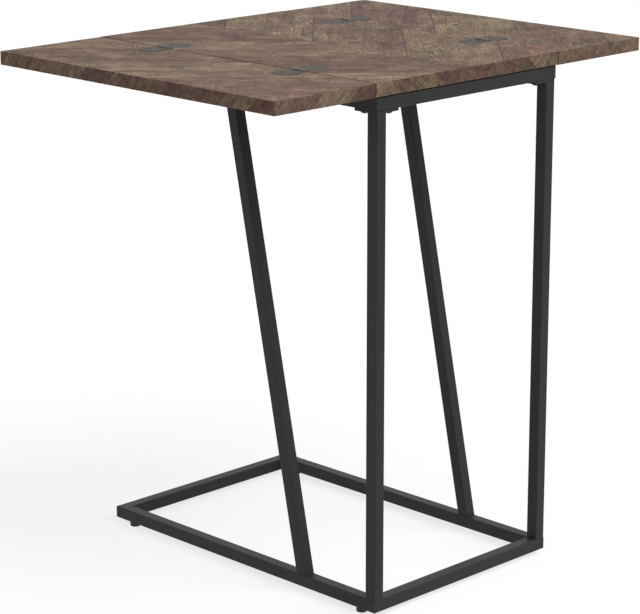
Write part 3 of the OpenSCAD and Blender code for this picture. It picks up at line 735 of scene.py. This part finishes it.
by_slot = {
    # Epoxy powder on steel tube, baked: a dark neutral grey with a dull sheen and a fine orange peel, with painted
    # shade in the groove under the panel.
    "frame_steel": finish("charcoal powder coat", "#292929", metal=0.0, rough=0.5, specular=0.25,
                          grain_mm=1.4, depth_um=30, patch=0.2, wear_and_painted_light=painted_groove_shade),
    # Stamped steel with a flat gunmetal plating: a warm dark grey with no glint, its knuckles paler from rubbing
    # and painted light, and its lobe rims darker.
    "hinge_metal": finish("flat gunmetal hinge finish", "#484541", metal=0.0, rough=0.6, specular=0.15,
                          grain_mm=0.8, depth_um=8, patch=0.25, wear_and_painted_light=hinge_marks_and_painted_light),
    # Drawn steel wire, plated dark: a smooth pin with a weak metal glint at its ends.
    "pin_steel": finish("dark plated hinge pin", "#4a4e50", metal=0.3, rough=0.45, specular=0.3,
                        grain_mm=0.5, depth_um=4, patch=0.15),
    # Cold-formed steel, plated dark: heads that nearly vanish in the hinge but for their recesses.
    "hinge_screw_steel": finish("dark plated screw", "#45423f", metal=0.0, rough=0.55, specular=0.2,
                                grain_mm=0.5, depth_um=4, patch=0.15),
    # Forged steel, blackened in hot salts and oiled: nearly black, with a soft metal sheen.
    "bolt_steel": finish("black oxide bolt", "#1a1a1b", metal=0.6, rough=0.45, specular=0.5,
                         grain_mm=0.6, depth_um=6, patch=0.2),
    # Steel with a bright zinc plating: pale and metallic, and a little cloudy.
    "zinc_steel": finish("bright zinc", "#a9adb2", metal=1.0, rough=0.3, specular=0.5,
                         grain_mm=0.6, depth_um=4, patch=0.15),
    # Moulded polyethylene from a spark-eroded mould: a dull black with a waxy, pebbled skin.
    "foot_plastic": finish("black polyethylene", "#141415", metal=0.0, rough=0.55, specular=0.5,
                           grain_mm=0.9, depth_um=15, patch=0.1)}
for part in frame["record"]["subparts"]:
    node = frame["nodes"][part["node"]]
    node.data.materials.clear()
    node.data.materials.append(panel_wood.get(part["node"]) or by_slot[part["material_slot"]])
print("finishes", len(by_slot) + len(panel_wood))

# %% [markdown]
# Flat-head screws hold the hinges, three in each lobe. From close by each head shows its cross
# recess, which a turned solid in the frame leaves out. It could be cut with a boolean, but a screw
# is a profile turned about its axis, and on the flat of its head the same grid can sink where the
# cross is: near either arm's middle line and not past the arm's end. The arms point at random, as
# a fitter leaves them, so each screw is turned by the golden angle from the last.

# %% A screw with a cross recess
HEAD_RADIUS = 3.3
RIM_DROP = 0.06
SHANK_RADIUS = 1.5
SCREW_LENGTH = 12.0
TIP_LENGTH = 2.5
TIP_RADIUS = 0.4
ARM_HALF = 0.42
ARM_END = 1.85
ARM_TAPER = (0.15, 0.1)
CROSS_DEPTH = 1.3
WALL_HALF = 0.08
HEAD_RINGS = [0.2, 0.4, 0.6, 0.9, 1.2, 1.5, 1.75, 1.95, 2.2, 2.7, HEAD_RADIUS - 0.1, HEAD_RADIUS]
TURN_STEPS = 64


def fade(value, low, high):
    """A smooth rise from 0 below low to 1 above high: 3 t squared less 2 t cubed, t being the share of the way."""
    t = np.clip((value - low) / (high - low), 0, 1)
    return t * t * (3 - 2 * t)


def cross_screw(turn):
    """Points, quads and end triangles of one screw in mm, with its head's top at z = 0. Radius and height of the
    profile run from the middle of the head out to its rim, in along the 90 degree cone to the shank and down to
    the tip. The height of the head is minus the depth of the cross, times one fade by the lesser of the ways
    along the two arms' directions, which gives the arms their width, and one by the greater, which ends them."""
    head = np.array(HEAD_RINGS)
    body = np.array([(SHANK_RADIUS, SHANK_RADIUS - HEAD_RADIUS), (SHANK_RADIUS, TIP_LENGTH - SCREW_LENGTH),
                     (TIP_RADIUS, -SCREW_LENGTH)])
    radius = np.concatenate([head, body[:, 0]])
    level = np.concatenate([np.where(head < HEAD_RADIUS, 0, -RIM_DROP), body[:, 1]])
    on_head = np.arange(len(radius)) < len(head)
    angle = np.arange(TURN_STEPS) * 2 * np.pi / TURN_STEPS
    x, y = radius[:, None] * np.cos(angle), radius[:, None] * np.sin(angle)
    along, aside = np.maximum(abs(x), abs(y)), np.minimum(abs(x), abs(y))
    arms = 1 - fade(aside, ARM_HALF - WALL_HALF, ARM_HALF + WALL_HALF)
    sunk = arms * (1 - fade(along, ARM_END - ARM_TAPER[0], ARM_END + ARM_TAPER[1]))
    z = level[:, None] - CROSS_DEPTH * sunk * on_head[:, None]
    c, s = np.cos(turn), np.sin(turn)
    rings = np.stack([c * x - s * y, s * x + c * y, z], axis=-1).reshape(-1, 3)
    points = np.vstack([rings, [(0, 0, -CROSS_DEPTH), (0, 0, -SCREW_LENGTH)]])

    here = np.arange(TURN_STEPS)
    ahead = np.roll(here, -1)
    ring = (np.arange(len(radius) - 1) * TURN_STEPS)[:, None]
    below = ring + TURN_STEPS
    quads = np.stack([ring + here, below + here, below + ahead, ring + ahead], axis=-1).reshape(-1, 4)
    top = np.stack([np.full(TURN_STEPS, len(rings)), here, ahead], axis=-1)
    last = (len(radius) - 1) * TURN_STEPS
    tip = np.stack([np.full(TURN_STEPS, len(rings) + 1), last + ahead, last + here], axis=-1)
    return points, quads, np.vstack([top, tip])


print("one screw", len(cross_screw(0.0)[0]), "points")

# %% [markdown]
# The screws ride with the panel or leaf that they hold, so there is one piece for each of the three
# bodies. It takes the place of the frame's plain screws, at the same size and in the same holes.

# %% Screws in the hinge lobes
SCREW_CIRCLE = 9.5
LOBE_SCREWS = 3
GOLDEN_ANGLE = 137.5


def lobe_screws(side, end, way):
    """Middles of the heads of one lobe, in mm: evenly on a circle about the lobe's middle, which lies LOBE_REACH
    from the hinge line towards way. side is -1 left or 1 right and end is -1 front or 1 rear."""
    turn = np.arange(LOBE_SCREWS) * 2 * np.pi / LOBE_SCREWS
    return np.stack([side * HINGE_LINE + way * (LOBE_REACH + SCREW_CIRCLE * np.cos(turn)),
                     end * HINGE_Y + SCREW_CIRCLE * np.sin(turn), np.full(LOBE_SCREWS, TOP_LEVEL)], axis=-1)


def add_screws(name, body, node, lobes):
    """One piece with the screws of the given lobes, in the stead of the frame's plain ones."""
    places = np.concatenate([lobe_screws(*lobe) for lobe in lobes])
    points, faces = [], []
    for k, place in enumerate(places):
        screw, quads, ends = cross_screw(k * math.radians(GOLDEN_ANGLE))
        faces += (quads + k * len(screw)).tolist() + (ends + k * len(screw)).tolist()
        points.append(screw + place)
    mesh = bpy.data.meshes.new(name)
    mesh.from_pydata((np.concatenate(points) / 1000).tolist(), [], faces)
    mesh.materials.append(by_slot["hinge_screw_steel"])
    piece = bpy.data.objects.new(name, mesh)
    bpy.context.collection.objects.link(piece)
    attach(piece, body)
    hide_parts(node)
    print(name, len(places), "screws", len(mesh.polygons), "faces")


add_screws("cross_screws_of_middle_panel", "table", "panel_hinge_screws",
           [(side, end, -side) for side in (-1, 1) for end in (-1, 1)])
add_screws("cross_screws_of_left_leaf", "left_leaf", "left_leaf_hinge_screws", [(-1, end, -1) for end in (-1, 1)])
add_screws("cross_screws_of_right_leaf", "right_leaf", "right_leaf_hinge_screws", [(1, end, 1) for end in (-1, 1)])
